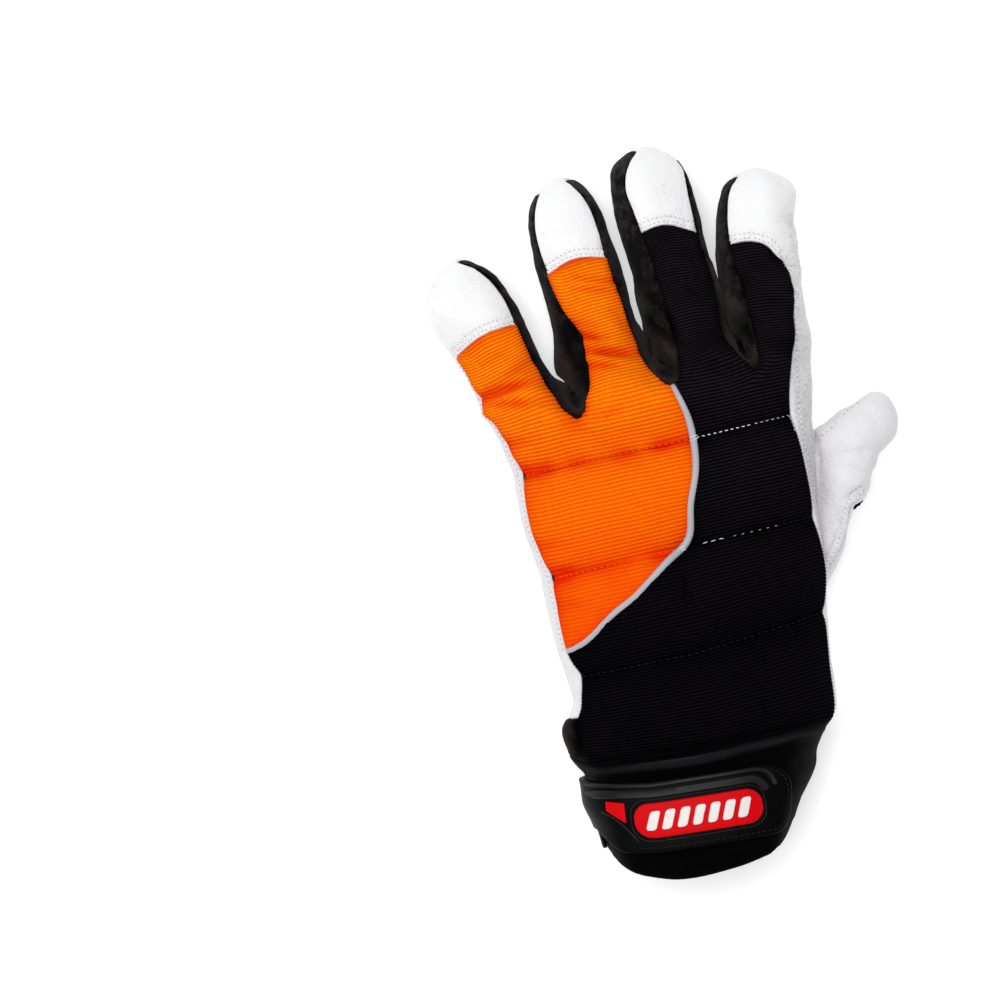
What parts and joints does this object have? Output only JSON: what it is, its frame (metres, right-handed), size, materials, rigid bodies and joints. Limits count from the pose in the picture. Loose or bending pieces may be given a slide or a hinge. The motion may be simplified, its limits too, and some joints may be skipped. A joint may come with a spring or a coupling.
{
  "type": "work glove",
  "caption": "Left-hand work glove lying palm down, with a padded knit back, leather palm, fingers and thumb, a neoprene cuff and a moulded wrist strap.",
  "frame": {"origin": "under the middle of the glove's box, on the surface it lies on", "axes": "+Y to the fingertips, +X to the thumb, +Z out of the back of the hand"},
  "size_m": [0.1602, 0.2592, 0.047],
  "materials": {
    "orange_knit": "ribbed knit",
    "black_knit": "ribbed knit",
    "grey_piping": "satin",
    "white_leather": "soft grain",
    "black_suede": "napped",
    "neoprene": "matt",
    "strap_rubber": "satin",
    "grey_rubber": "satin",
    "red_rubber": "satin",
    "cream_rubber": "satin"
  },
  "bodies": {
    "root": {"back_orange": "orange_knit", "back_black": "black_knit", "piping": "grey_piping", "palm": "white_leather", "palm_patch": "white_leather", "cap_index": "white_leather", "cap_middle": "white_leather", "cap_ring": "white_leather", "cap_little": "white_leather", "fourchette_middle_index": "black_suede", "fourchette_ring_middle": "black_suede", "fourchette_little_ring": "black_suede", "thumb": "white_leather", "thumb_back": "black_knit", "wrist_gusset": "black_suede", "cuff": "neoprene", "strap": "strap_rubber", "strap_plate": "red_rubber", "strap_ridge": "grey_rubber", "strap_flash_back": "red_rubber", "strap_flash_palm": "red_rubber", "palm_badge": "cream_rubber", "side_tab": "red_rubber"}
  },
  "joints": []
}
